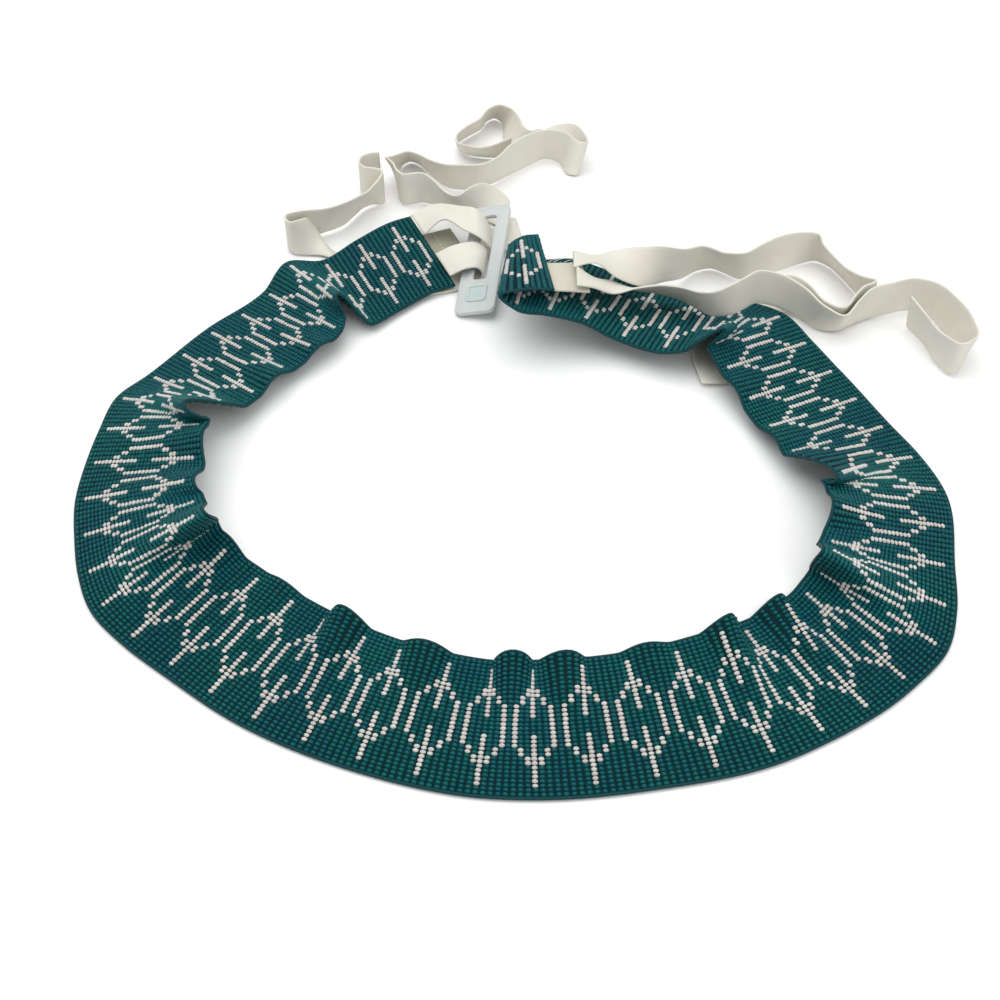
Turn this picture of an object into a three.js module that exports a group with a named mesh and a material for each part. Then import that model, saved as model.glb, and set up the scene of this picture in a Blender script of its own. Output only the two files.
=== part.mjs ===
import * as THREE from 'three';

// Beaded belt laid in a loop: woven bead band, two cloth facings, four tape ties, flat plastic hanger.
// Millimetres, +Z up, the surface it lies on at z = 0, the near edge of the loop toward -Y.

// Bead band sizes
const BEAD_PITCH = 2.12;
const COLUMNS_PER_MOTIF = 8;
const MOTIF_LENGTH = BEAD_PITCH * COLUMNS_PER_MOTIF;
const MOTIF_START = 0.4375;
const MOTIF_END = 50.5625;
const BAND_WIDTH = 46.4;
const BAND_THICKNESS = 2;
const BAND_STEPS_PER_MOTIF = 5;
const BAND_RAILS = [0, 0.22, 0.44, 0.64, 0.8, 0.91, 1];

// Size of the laid loop
const LOOP_WIDTH = 285;
const LOOP_DEPTH = 292;

// Tape and facing sizes
const TAPE_WIDTH = 15;
const TAPE_THICKNESS = 1;
const TAPE_STEP = 3.4;
const TAPE_RAILS = [0, 0.5, 1];
const FACING_LENGTH = 18;
const FACING_THICKNESS = 1.2;
const FACING_STEPS = 8;
const SEAM_GAP = 0.35;

// Plastic hanger sizes
const HANGER_LENGTH = 61;
const HANGER_WIDTH = 16;
const HANGER_THICKNESS = 2;
const HANGER_CORNER = 3;

// Course of the outer edge of the band. motif: motif number counted from the left end;
// x, y: shares of the loop width and depth; lift: share of the band width above the surface;
// turn: heading of the band's width, degrees; rise: climb of the band's width, degrees.
const BAND_ROWS = [
  { motif: 0, x: -0.115, y: 0.95, lift: 0.11, turn: -66, rise: -3 },
  { motif: 1, x: -0.168, y: 0.929, lift: 0.09, turn: -66, rise: -3 },
  { motif: 2, x: -0.213, y: 0.891, lift: 0.07, turn: -65, rise: -2 },
  { motif: 3, x: -0.257, y: 0.85, lift: 0.045, turn: -63, rise: 1 },
  { motif: 4, x: -0.308, y: 0.846, lift: 0.04, turn: -53, rise: 7 },
  { motif: 5, x: -0.332, y: 0.789, lift: 0, turn: -45, rise: 8 },
  { motif: 7, x: -0.399, y: 0.707, lift: 0, turn: -42, rise: 6 },
  { motif: 9, x: -0.459, y: 0.616, lift: 0, turn: -39, rise: 10 },
  { motif: 10, x: -0.491, y: 0.573, lift: 0, turn: -27, rise: 16 },
  { motif: 11, x: -0.5, y: 0.516, lift: 0, turn: -20, rise: 19 },
  { motif: 12, x: -0.504, y: 0.457, lift: 0, turn: -14, rise: 16 },
  { motif: 13, x: -0.503, y: 0.396, lift: 0, turn: -8, rise: 18 },
  { motif: 14, x: -0.491, y: 0.337, lift: 0, turn: 1, rise: 21 },
  { motif: 15, x: -0.474, y: 0.28, lift: 0, turn: 16, rise: 20 },
  { motif: 16, x: -0.449, y: 0.23, lift: 0, turn: 40, rise: 12 },
  { motif: 17, x: -0.407, y: 0.187, lift: 0, turn: 54, rise: 3 },
  { motif: 18, x: -0.36, y: 0.15, lift: 0, turn: 57, rise: 1 },
  { motif: 20, x: -0.264, y: 0.083, lift: 0, turn: 63, rise: 1 },
  { motif: 22, x: -0.153, y: 0.034, lift: 0, turn: 75, rise: 0 },
  { motif: 24, x: -0.035, y: 0.005, lift: 0, turn: 83, rise: 0 },
  { motif: 25, x: 0.024, y: 0.002, lift: 0, turn: 91, rise: 1 },
  { motif: 27, x: 0.144, y: 0.014, lift: 0, turn: 98, rise: 1 },
  { motif: 29, x: 0.262, y: 0.042, lift: 0, turn: 107, rise: 4 },
  { motif: 30, x: 0.317, y: 0.068, lift: 0, turn: 116, rise: 1 },
  { motif: 32, x: 0.414, y: 0.133, lift: 0, turn: 127, rise: 2 },
  { motif: 33, x: 0.458, y: 0.178, lift: 0, turn: 141, rise: 8 },
  { motif: 34, x: 0.481, y: 0.233, lift: 0, turn: 163, rise: 15 },
  { motif: 35, x: 0.493, y: 0.293, lift: 0, turn: 182, rise: 18 },
  { motif: 37, x: 0.509, y: 0.412, lift: 0, turn: 193, rise: 17 },
  { motif: 38, x: 0.493, y: 0.469, lift: 0, turn: 203, rise: 12 },
  { motif: 39, x: 0.468, y: 0.524, lift: 0, turn: 209, rise: 8 },
  { motif: 41, x: 0.423, y: 0.628, lift: 0, turn: 212, rise: 7 },
  { motif: 42, x: 0.397, y: 0.68, lift: 0.02, turn: 215, rise: 10 },
  { motif: 43, x: 0.368, y: 0.729, lift: 0.05, turn: 222, rise: 13 },
  { motif: 44, x: 0.317, y: 0.758, lift: 0.05, turn: 244, rise: 13 },
  { motif: 45, x: 0.258, y: 0.769, lift: 0.04, turn: 247, rise: 9 },
  { motif: 46, x: 0.204, y: 0.795, lift: 0.01, turn: 248, rise: 10 },
  { motif: 47, x: 0.147, y: 0.806, lift: 0.11, turn: 251, rise: 12 },
  { motif: 48, x: 0.088, y: 0.808, lift: 0.24, turn: 256, rise: 10 },
  { motif: 49, x: 0.03, y: 0.805, lift: 0.27, turn: 262, rise: 13 },
  { motif: 49.5, x: 0.003, y: 0.812, lift: 0.35, turn: 265, rise: 14 },
  { motif: 50, x: 0.018, y: 0.818, lift: 0.42, turn: 272, rise: 12 },
  { motif: 50.6, x: 0.043, y: 0.822, lift: 0.43, turn: 276, rise: 10 },
];

// Folds of the gathered inner edge. motif: where it stands; half: half its length in motifs;
// height, lean, belly: shares of the band width, upward, along the band, and the widening of the crest;
// from: share of the band width where it starts.
const FOLD_ROWS = [
  { motif: 3.75, half: 0.8, height: 0.16, lean: 0.1, belly: 0.02, from: 0.3 },
  { motif: 5.9, half: 0.6, height: 0.05, lean: 0, belly: 0.01, from: 0.5 },
  { motif: 7.4, half: 0.6, height: 0.06, lean: 0, belly: 0.01, from: 0.5 },
  { motif: 9.6, half: 1.1, height: 0.24, lean: 0.26, belly: 0.07, from: 0.25 },
  { motif: 11.6, half: 0.7, height: 0.07, lean: 0, belly: 0.02, from: 0.4 },
  { motif: 13, half: 0.6, height: 0.1, lean: 0.07, belly: 0.02, from: 0.2 },
  { motif: 15.1, half: 0.9, height: 0.2, lean: 0.16, belly: 0.03, from: 0.2 },
  { motif: 16.9, half: 0.6, height: 0.08, lean: 0.03, belly: 0.02, from: 0.5 },
  { motif: 18.6, half: 0.6, height: 0.04, lean: 0, belly: 0.01, from: 0.5 },
  { motif: 20.5, half: 0.6, height: 0.13, lean: -0.04, belly: 0.02, from: 0.4 },
  { motif: 22.5, half: 0.6, height: 0.08, lean: 0, belly: 0.02, from: 0.5 },
  { motif: 24.5, half: 0.55, height: 0.11, lean: 0, belly: 0.03, from: 0.5 },
  { motif: 25.7, half: 0.5, height: 0.09, lean: 0.02, belly: 0.02, from: 0.5 },
  { motif: 27.4, half: 0.6, height: 0.06, lean: 0, belly: 0.01, from: 0.5 },
  { motif: 29.2, half: 0.6, height: 0.13, lean: 0.05, belly: 0.02, from: 0.35 },
  { motif: 30.9, half: 0.55, height: 0.11, lean: 0.05, belly: 0.02, from: 0.4 },
  { motif: 33.7, half: 1, height: 0.22, lean: -0.16, belly: 0.03, from: 0.2 },
  { motif: 36, half: 0.6, height: 0.07, lean: 0, belly: 0.02, from: 0.5 },
  { motif: 38.1, half: 0.95, height: 0.21, lean: -0.25, belly: 0.06, from: 0.3 },
  { motif: 39.6, half: 0.6, height: 0.06, lean: -0.02, belly: 0.01, from: 0.5 },
  { motif: 41.3, half: 0.6, height: 0.05, lean: -0.02, belly: 0.01, from: 0.5 },
  { motif: 43.7, half: 0.85, height: 0.18, lean: -0.1, belly: 0.04, from: 0.3 },
];

// Courses of the ties, each from its sewn root to its free end. x, y: shares of the loop width and
// depth of the lower edge; lift: share of the tape width above the surface;
// turn: heading of the tape's width, degrees; stand: climb of the tape's width, degrees.
const TIE_LEFT_UPPER = [
  { x: -0.117, y: 0.889, lift: 0.5, turn: 114, stand: 0 },
  { x: -0.091, y: 0.897, lift: 0.86, turn: 110, stand: -8 },
  { x: -0.058, y: 0.869, lift: 0.88, turn: 98, stand: 7 },
  { x: -0.041, y: 0.859, lift: 0.84, turn: 95, stand: 13 },
  { x: -0.031, y: 0.858, lift: 0.68, turn: 94, stand: 10 },
  { x: -0.019, y: 0.862, lift: 0.34, turn: 93, stand: 2 },
  { x: -0.004, y: 0.868, lift: 0.3, turn: 93, stand: 3 },
  { x: 0.012, y: 0.882, lift: 0.27, turn: 95, stand: 6 },
  { x: 0.021, y: 0.897, lift: 0.18, turn: 100, stand: 5 },
  { x: 0.016, y: 0.914, lift: 0.07, turn: 105, stand: 4 },
  { x: -0.003, y: 0.934, lift: 0.03, turn: 85, stand: 5 },
  { x: -0.02, y: 0.95, lift: 0.03, turn: 65, stand: 16 },
  { x: -0.036, y: 0.96, lift: 0.03, turn: 72, stand: 48 },
  { x: -0.052, y: 0.967, lift: 0.03, turn: 84, stand: 90 },
  { x: -0.07, y: 0.976, lift: 0.03, turn: 90, stand: 116 },
  { x: -0.089, y: 0.988, lift: 0.03, turn: 90, stand: 118 },
  { x: -0.107, y: 1, lift: 0.03, turn: 90, stand: 104 },
  { x: -0.124, y: 1.006, lift: 0.03, turn: 90, stand: 93 },
  { x: -0.139, y: 1.002, lift: 0.03, turn: 90, stand: 90 },
  { x: -0.15, y: 1, lift: 0.03, turn: 120, stand: 90 },
  { x: -0.158, y: 1.011, lift: 0.03, turn: 175, stand: 87 },
  { x: -0.16, y: 1.03, lift: 0.03, turn: 188, stand: 82 },
  { x: -0.161, y: 1.055, lift: 0.03, turn: 208, stand: 70 },
  { x: -0.163, y: 1.084, lift: 0.03, turn: 235, stand: 55 },
  { x: -0.16, y: 1.106, lift: 0.03, turn: 256, stand: 47 },
  { x: -0.148, y: 1.117, lift: 0.03, turn: 264, stand: 47 },
  { x: -0.134, y: 1.109, lift: 0.03, turn: 258, stand: 50 },
  { x: -0.12, y: 1.088, lift: 0.03, turn: 252, stand: 58 },
  { x: -0.104, y: 1.062, lift: 0.03, turn: 252, stand: 66 },
  { x: -0.087, y: 1.045, lift: 0.03, turn: 258, stand: 72 },
  { x: -0.066, y: 1.04, lift: 0.03, turn: 266, stand: 75 },
  { x: -0.042, y: 1.045, lift: 0.03, turn: 276, stand: 72 },
  { x: -0.018, y: 1.06, lift: 0.03, turn: 290, stand: 76 },
  { x: 0.005, y: 1.081, lift: 0.03, turn: 300, stand: 88 },
  { x: 0.035, y: 1.106, lift: 0.03, turn: 120, stand: 86 },
  { x: 0.06, y: 1.124, lift: 0.03, turn: 90, stand: 94 },
  { x: 0.082, y: 1.112, lift: 0.03, turn: 50, stand: 84 },
  { x: 0.095, y: 1.08, lift: 0.03, turn: 42, stand: 66 },
  { x: 0.104, y: 1.078, lift: 0.03, turn: 45, stand: 66 },
  { x: 0.101, y: 1.108, lift: 0.03, turn: 58, stand: 58 },
  { x: 0.085, y: 1.138, lift: 0.03, turn: 76, stand: 32 },
  { x: 0.064, y: 1.15, lift: 0.03, turn: 84, stand: 10 },
  { x: 0.042, y: 1.144, lift: 0.03, turn: 70, stand: 10 },
  { x: 0.022, y: 1.134, lift: 0.03, turn: 45, stand: 28 },
  { x: 0.007, y: 1.14, lift: 0.03, turn: 0, stand: 48 },
  { x: -0.003, y: 1.16, lift: 0.03, turn: -22, stand: 52 },
  { x: -0.005, y: 1.185, lift: 0.03, turn: -34, stand: 52 },
  { x: -0.005, y: 1.21, lift: 0.03, turn: -50, stand: 52 },
  { x: -0.01, y: 1.234, lift: 0.03, turn: -66, stand: 52 },
  { x: -0.02, y: 1.243, lift: 0.03, turn: -74, stand: 52 },
  { x: -0.031, y: 1.235, lift: 0.03, turn: -80, stand: 52 },
  { x: -0.043, y: 1.208, lift: 0.03, turn: -90, stand: 48 },
  { x: -0.062, y: 1.188, lift: 0.03, turn: -93, stand: 46 },
  { x: -0.075, y: 1.17, lift: 0.03, turn: -93, stand: 43 },
  { x: -0.074, y: 1.15, lift: 0.03, turn: -92, stand: 43 },
  { x: -0.058, y: 1.136, lift: 0.03, turn: -90, stand: 45 },
  { x: -0.038, y: 1.13, lift: 0.03, turn: -90, stand: 46 },
  { x: -0.02, y: 1.128, lift: 0.03, turn: -88, stand: 52 },
  { x: -0.006, y: 1.127, lift: 0.03, turn: -86, stand: 60 },
  { x: 0.004, y: 1.126, lift: 0.03, turn: -84, stand: 66 },
];
const TIE_LEFT_LOWER = [
  { x: -0.079, y: 0.803, lift: 0.36, turn: 114, stand: 3 },
  { x: -0.055, y: 0.806, lift: 0.56, turn: 106, stand: 5 },
  { x: -0.042, y: 0.81, lift: 0.52, turn: 94, stand: 7 },
  { x: -0.0345, y: 0.812, lift: 0.3, turn: 85, stand: 7 },
  { x: -0.0355, y: 0.811, lift: 0.14, turn: 85, stand: 5 },
  { x: -0.045, y: 0.808, lift: 0.05, turn: 94, stand: 1 },
  { x: -0.06, y: 0.799, lift: 0.03, turn: 104, stand: 0 },
  { x: -0.082, y: 0.79, lift: 0.03, turn: 108, stand: 0 },
  { x: -0.109, y: 0.785, lift: 0.03, turn: 106, stand: 0 },
  { x: -0.155, y: 0.794, lift: 0.03, turn: 106, stand: 0 },
  { x: -0.203, y: 0.822, lift: 0.03, turn: 112, stand: 0 },
  { x: -0.236, y: 0.855, lift: 0.03, turn: 118, stand: 2 },
  { x: -0.261, y: 0.873, lift: 0.04, turn: 110, stand: 28 },
  { x: -0.284, y: 0.876, lift: 0.03, turn: 100, stand: 72 },
  { x: -0.303, y: 0.88, lift: 0.03, turn: 90, stand: 90 },
  { x: -0.311, y: 0.896, lift: 0.03, turn: 90, stand: 90 },
  { x: -0.297, y: 0.911, lift: 0.06, turn: 110, stand: 98 },
  { x: -0.264, y: 0.927, lift: 0.07, turn: 120, stand: 108 },
  { x: -0.239, y: 0.944, lift: 0.07, turn: 124, stand: 110 },
  { x: -0.224, y: 0.968, lift: 0.07, turn: 130, stand: 116 },
  { x: -0.211, y: 0.99, lift: 0.07, turn: 115, stand: 122 },
  { x: -0.196, y: 1, lift: 0.06, turn: 95, stand: 118 },
  { x: -0.184, y: 1.002, lift: 0.03, turn: 90, stand: 100 },
  { x: -0.182, y: 1.011, lift: 0.03, turn: 90, stand: 92 },
  { x: -0.193, y: 1.016, lift: 0.03, turn: 90, stand: 90 },
  { x: -0.208, y: 1.019, lift: 0.03, turn: 120, stand: 90 },
  { x: -0.217, y: 1.031, lift: 0.03, turn: 180, stand: 90 },
  { x: -0.215, y: 1.047, lift: 0.03, turn: 200, stand: 90 },
  { x: -0.204, y: 1.057, lift: 0.03, turn: 240, stand: 88 },
  { x: -0.189, y: 1.062, lift: 0.03, turn: 260, stand: 86 },
];
const TIE_RIGHT_UPPER = [
  { x: 0.084, y: 0.72, lift: 1.8, turn: 88, stand: -12 },
  { x: 0.11, y: 0.731, lift: 1.78, turn: 86, stand: -25 },
  { x: 0.143, y: 0.737, lift: 1.24, turn: 88, stand: 8 },
  { x: 0.18, y: 0.759, lift: 0.66, turn: 90, stand: 50 },
  { x: 0.212, y: 0.79, lift: 0.36, turn: 90, stand: 80 },
  { x: 0.24, y: 0.818, lift: 0.08, turn: 105, stand: 95 },
  { x: 0.265, y: 0.84, lift: 0.03, turn: 105, stand: 106 },
  { x: 0.284, y: 0.845, lift: 0.03, turn: 90, stand: 116 },
  { x: 0.302, y: 0.834, lift: 0.03, turn: 70, stand: 114 },
  { x: 0.321, y: 0.82, lift: 0.03, turn: 90, stand: 102 },
  { x: 0.347, y: 0.828, lift: 0.03, turn: 110, stand: 90 },
  { x: 0.384, y: 0.842, lift: 0.03, turn: 100, stand: 79 },
  { x: 0.412, y: 0.856, lift: 0.03, turn: 100, stand: 90 },
  { x: 0.433, y: 0.862, lift: 0.03, turn: 70, stand: 102 },
  { x: 0.448, y: 0.851, lift: 0.03, turn: 40, stand: 114 },
  { x: 0.464, y: 0.822, lift: 0.03, turn: 35, stand: 119 },
  { x: 0.476, y: 0.79, lift: 0.03, turn: 35, stand: 116 },
  { x: 0.486, y: 0.766, lift: 0.03, turn: 40, stand: 106 },
  { x: 0.49, y: 0.754, lift: 0.03, turn: 60, stand: 96 },
  { x: 0.483, y: 0.745, lift: 0.03, turn: 85, stand: 92 },
  { x: 0.47, y: 0.738, lift: 0.03, turn: 104, stand: 92 },
  { x: 0.455, y: 0.728, lift: 0.03, turn: 106, stand: 98 },
  { x: 0.436, y: 0.717, lift: 0.03, turn: 92, stand: 114 },
  { x: 0.415, y: 0.718, lift: 0.03, turn: 82, stand: 105 },
  { x: 0.393, y: 0.734, lift: 0.03, turn: 86, stand: 76 },
  { x: 0.371, y: 0.745, lift: 0.03, turn: 92, stand: 34 },
  { x: 0.347, y: 0.741, lift: 0.03, turn: 98, stand: 6 },
  { x: 0.319, y: 0.722, lift: 0.03, turn: 122, stand: 0 },
  { x: 0.3, y: 0.69, lift: 0.03, turn: 155, stand: 0 },
  { x: 0.292, y: 0.652, lift: 0.03, turn: 174, stand: 3 },
  { x: 0.297, y: 0.603, lift: 0.03, turn: 187, stand: 6 },
];
const TIE_RIGHT_LOWER = [
  { x: 0.088, y: 0.721, lift: 1.8, turn: 268, stand: 10 },
  { x: 0.111, y: 0.728, lift: 1.38, turn: 266, stand: 22 },
  { x: 0.138, y: 0.746, lift: 1, turn: 268, stand: 19 },
  { x: 0.167, y: 0.75, lift: 0.7, turn: 268, stand: 38 },
  { x: 0.2, y: 0.75, lift: 0.58, turn: 270, stand: 48 },
  { x: 0.224, y: 0.742, lift: 0.55, turn: 270, stand: 52 },
  { x: 0.247, y: 0.722, lift: 0.55, turn: 270, stand: 59 },
  { x: 0.27, y: 0.698, lift: 0.63, turn: 270, stand: 77 },
  { x: 0.288, y: 0.697, lift: 0.68, turn: 90, stand: 92 },
  { x: 0.307, y: 0.715, lift: 0.56, turn: 90, stand: 88 },
  { x: 0.331, y: 0.738, lift: 0.44, turn: 95, stand: 88 },
  { x: 0.357, y: 0.739, lift: 0.32, turn: 90, stand: 88 },
  { x: 0.388, y: 0.726, lift: 0.14, turn: 88, stand: 92 },
  { x: 0.415, y: 0.71, lift: 0.03, turn: 80, stand: 108 },
  { x: 0.436, y: 0.708, lift: 0.03, turn: 90, stand: 120 },
  { x: 0.453, y: 0.718, lift: 0.03, turn: 110, stand: 104 },
  { x: 0.478, y: 0.732, lift: 0.03, turn: 110, stand: 92 },
  { x: 0.51, y: 0.743, lift: 0.03, turn: 100, stand: 90 },
  { x: 0.54, y: 0.75, lift: 0.03, turn: 90, stand: 88 },
  { x: 0.563, y: 0.738, lift: 0.03, turn: 45, stand: 84 },
  { x: 0.576, y: 0.708, lift: 0.03, turn: 0, stand: 78 },
  { x: 0.581, y: 0.668, lift: 0.03, turn: 0, stand: 72 },
  { x: 0.579, y: 0.634, lift: 0.03, turn: -10, stand: 76 },
  { x: 0.568, y: 0.618, lift: 0.03, turn: -20, stand: 88 },
  { x: 0.556, y: 0.636, lift: 0.03, turn: 24, stand: 95 },
  { x: 0.545, y: 0.682, lift: 0.03, turn: 24, stand: 100 },
  { x: 0.531, y: 0.716, lift: 0.03, turn: 24, stand: 96 },
];
const TIE_ROWS = {
  tie_left_upper: TIE_LEFT_UPPER,
  tie_left_lower: TIE_LEFT_LOWER,
  tie_right_upper: TIE_RIGHT_UPPER,
  tie_right_lower: TIE_RIGHT_LOWER,
};

// Cloth facings sewn beneath the two band ends. end: motif number of the band end;
// inward: +1 where the motif number grows into the band, else -1;
// tuck: share of the facing length that lies beneath the band;
// from, to: shares of the band width that it spans.
const FACING_ROWS = [
  { name: 'facing_left', end: MOTIF_START, inward: 1, tuck: 0.3, from: 0.22, to: 0.66 },
  { name: 'facing_right', end: MOTIF_END, inward: -1, tuck: 0.24, from: 0.46, to: 0.94 },
];

// Plastic hanger: where the middles of its lower and upper ends lie, and how far it rolls to the left
const HANGER_FOOT = { x: -0.045, y: 0.734, lift: 0.21 };
const HANGER_HEAD = { x: -0.021, y: 0.941, lift: 0.75 };
const HANGER_ROLL = 14;
const HANGER_WINDOW_WIDTH = 5.4;
const HANGER_WINDOW_START = 18;
const HANGER_HEAD_BAR = 6;
const HANGER_WINDOW_LENGTH = HANGER_LENGTH - HANGER_WINDOW_START - HANGER_HEAD_BAR;
const HANGER_WINDOW_CORNER = 1.6;
const HANGER_CORNER_STEPS = 6;

// Surface finishes
const BEAD_FINISH = { color: 0x0c5358, roughness: 0.35, metalness: 0 };
const TAPE_FINISH = { color: 0xe6e3d8, roughness: 0.9, metalness: 0 };
const FACING_FINISH = { color: 0xd9d5c6, roughness: 0.95, metalness: 0 };
const HANGER_FINISH = { color: 0xdfe4e2, roughness: 0.4, metalness: 0 };

const group = new THREE.Group();

const DEG = Math.PI / 180;

// Unit vector from a heading and a climb in degrees
function heading(turn, climb) {
  const flat = Math.cos(climb * DEG);
  const x = flat * Math.cos(turn * DEG);
  const y = flat * Math.sin(turn * DEG);
  return new THREE.Vector3(x, y, Math.sin(climb * DEG));
}

// Smooth curve through values given at rising stations
function through(stations, values, at) {
  const last = stations.length - 1;
  let i = 0;
  while (i < last - 1 && at > stations[i + 1]) i += 1;
  const slope = (k) => {
    if (k <= 0) return (values[1] - values[0]) / (stations[1] - stations[0]);
    if (k >= last) return (values[last] - values[last - 1]) / (stations[last] - stations[last - 1]);
    const before = stations[k] - stations[k - 1];
    const after = stations[k + 1] - stations[k];
    const rate0 = (values[k] - values[k - 1]) / before;
    const rate1 = (values[k + 1] - values[k]) / after;
    return (rate0 * after + rate1 * before) / (before + after);
  };
  const span = stations[i + 1] - stations[i];
  const t = (at - stations[i]) / span;
  const t2 = t * t;
  const t3 = t2 * t;
  return (2 * t3 - 3 * t2 + 1) * values[i] + (t3 - 2 * t2 + t) * span * slope(i)
    + (3 * t2 - 2 * t3) * values[i + 1] + (t3 - t2) * span * slope(i + 1);
}

// Edge point and width direction of a strip at one station
function frameAt(rails, at) {
  const value = (key) => through(rails.stations, rails[key], at);
  const point = new THREE.Vector3(value('px'), value('py'), value('pz'));
  const across = new THREE.Vector3(value('dx'), value('dy'), value('dz')).normalize();
  return { point, across };
}

// Rails of a strip from its rows; stations are the row lengths along it, or given
function railsOf(rows, climbKey, liftUnit, baseLift, givenStations) {
  const rails = { stations: [], px: [], py: [], pz: [], dx: [], dy: [], dz: [] };
  rows.forEach((row, k) => {
    rails.px.push(row.x * LOOP_WIDTH);
    rails.py.push(row.y * LOOP_DEPTH);
    rails.pz.push(baseLift + row.lift * liftUnit);
    const d = heading(row.turn, row[climbKey]);
    rails.dx.push(d.x);
    rails.dy.push(d.y);
    rails.dz.push(d.z);
    if (givenStations) rails.stations.push(givenStations[k]);
    else if (k === 0) rails.stations.push(0);
    else {
      const step = Math.hypot(rails.px[k] - rails.px[k - 1], rails.py[k] - rails.py[k - 1],
        rails.pz[k] - rails.pz[k - 1]);
      rails.stations.push(rails.stations[k - 1] + step);
    }
  });
  return rails;
}

const bandMotifs = BAND_ROWS.map((row) => row.motif);
const bandRails = railsOf(BAND_ROWS, 'rise', BAND_WIDTH, BAND_THICKNESS / 2, bandMotifs);

// Middle surface of the band: motif number along it, share of the width across it
function bandPoint(motif, share) {
  const { point, across } = frameAt(bandRails, motif);
  const ahead = frameAt(bandRails, motif + 0.02).point;
  const behind = frameAt(bandRails, motif - 0.02).point;
  const along = ahead.sub(behind).setZ(0).normalize();
  const up = new THREE.Vector3().crossVectors(along, across).normalize();
  const spot = point.clone().addScaledVector(across, share * BAND_WIDTH);
  FOLD_ROWS.forEach((fold) => {
    const t = (motif - fold.motif) / fold.half;
    if (Math.abs(t) >= 1 || share <= fold.from) return;
    const crest = (1 + Math.cos(Math.PI * t)) / 2;
    const reach = ((share - fold.from) / (1 - fold.from)) ** 1.3;
    spot.addScaledVector(up, fold.height * BAND_WIDTH * crest * reach);
    const shift = fold.lean * crest + fold.belly * Math.sin(Math.PI * t);
    spot.addScaledVector(along, shift * BAND_WIDTH * reach);
  });
  spot.z = Math.max(spot.z, BAND_THICKNESS / 2);
  return spot;
}

// Closed slab of even thickness about a surface sampled at stations (rows) and shares (columns)
function slab(surface, stations, shares, thickness) {
  const rows = stations.length;
  const cols = shares.length;
  const positions = [];
  const index = [];
  const small = 1e-3;
  const normalAt = (s, v) => {
    const a = surface(s + small * stations[rows - 1], v);
    const b = surface(s - small * stations[rows - 1], v);
    const c = surface(s, v + small);
    const d = surface(s, v - small);
    return new THREE.Vector3().crossVectors(a.sub(b), c.sub(d)).normalize();
  };
  [1, -1].forEach((side) => {
    stations.forEach((s) => {
      shares.forEach((v) => {
        const p = surface(s, v).addScaledVector(normalAt(s, v), side * thickness / 2);
        positions.push(p.x, p.y, p.z);
      });
    });
  });
  const top = (i, j) => i * cols + j;
  const low = (i, j) => rows * cols + i * cols + j;
  const quad = (a, b, c, d) => index.push(a, b, c, a, c, d);
  for (let i = 0; i < rows - 1; i += 1) {
    for (let j = 0; j < cols - 1; j += 1) {
      quad(top(i, j), top(i + 1, j), top(i + 1, j + 1), top(i, j + 1));
      quad(low(i, j), low(i, j + 1), low(i + 1, j + 1), low(i + 1, j));
    }
    quad(low(i, 0), low(i + 1, 0), top(i + 1, 0), top(i, 0));
    quad(top(i, cols - 1), top(i + 1, cols - 1), low(i + 1, cols - 1), low(i, cols - 1));
  }
  for (let j = 0; j < cols - 1; j += 1) {
    quad(top(0, j), top(0, j + 1), low(0, j + 1), low(0, j));
    quad(low(rows - 1, j), low(rows - 1, j + 1), top(rows - 1, j + 1), top(rows - 1, j));
  }
  const geometry = new THREE.BufferGeometry();
  geometry.setAttribute('position', new THREE.Float32BufferAttribute(positions, 3));
  geometry.setIndex(index);
  geometry.computeVertexNormals();
  return geometry;
}

function evenStations(from, to, count) {
  return Array.from({ length: count + 1 }, (_, k) => from + (to - from) * k / count);
}

function add(name, geometry, finish) {
  const mesh = new THREE.Mesh(geometry, new THREE.MeshStandardMaterial(finish));
  mesh.name = name;
  group.add(mesh);
  return mesh;
}

const bandSteps = Math.round((MOTIF_END - MOTIF_START) * BAND_STEPS_PER_MOTIF);
const bandStations = evenStations(MOTIF_START, MOTIF_END, bandSteps);
add('beaded_band', slab(bandPoint, bandStations, BAND_RAILS, BAND_THICKNESS), BEAD_FINISH);

Object.entries(TIE_ROWS).forEach(([name, rows]) => {
  const rails = railsOf(rows, 'stand', TAPE_WIDTH, TAPE_THICKNESS / 2);
  const length = rails.stations[rails.stations.length - 1];
  const surface = (s, v) => {
    const { point, across } = frameAt(rails, s);
    return point.addScaledVector(across, v * TAPE_WIDTH);
  };
  const stations = evenStations(0, length, Math.round(length / TAPE_STEP));
  add(name, slab(surface, stations, TAPE_RAILS, TAPE_THICKNESS), TAPE_FINISH);
});

// Middle surface of a facing: distance from its hidden end, share of its own width
function facingSurface(row) {
  const tuck = row.tuck * FACING_LENGTH;
  const drop = (BAND_THICKNESS + FACING_THICKNESS) / 2 + SEAM_GAP;
  const step = 0.1;
  return (s, v) => {
    const share = row.from + (row.to - row.from) * v;
    const inside = Math.max(tuck - s, 0) / MOTIF_LENGTH;
    const spot = bandPoint(row.end + row.inward * inside, share);
    const back = bandPoint(row.end + row.inward * step, share);
    const outward = bandPoint(row.end, share).sub(back).normalize();
    spot.addScaledVector(outward, Math.max(s - tuck, 0));
    spot.z -= drop;
    return spot;
  };
}

FACING_ROWS.forEach((row) => {
  const stations = evenStations(0, FACING_LENGTH, FACING_STEPS);
  const shares = evenStations(0, 1, FACING_STEPS);
  const surface = facingSurface(row);
  const turned = (s, v) => surface(s, row.inward > 0 ? 1 - v : v);
  add(row.name, slab(turned, stations, shares, FACING_THICKNESS), FACING_FINISH);
});

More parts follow.
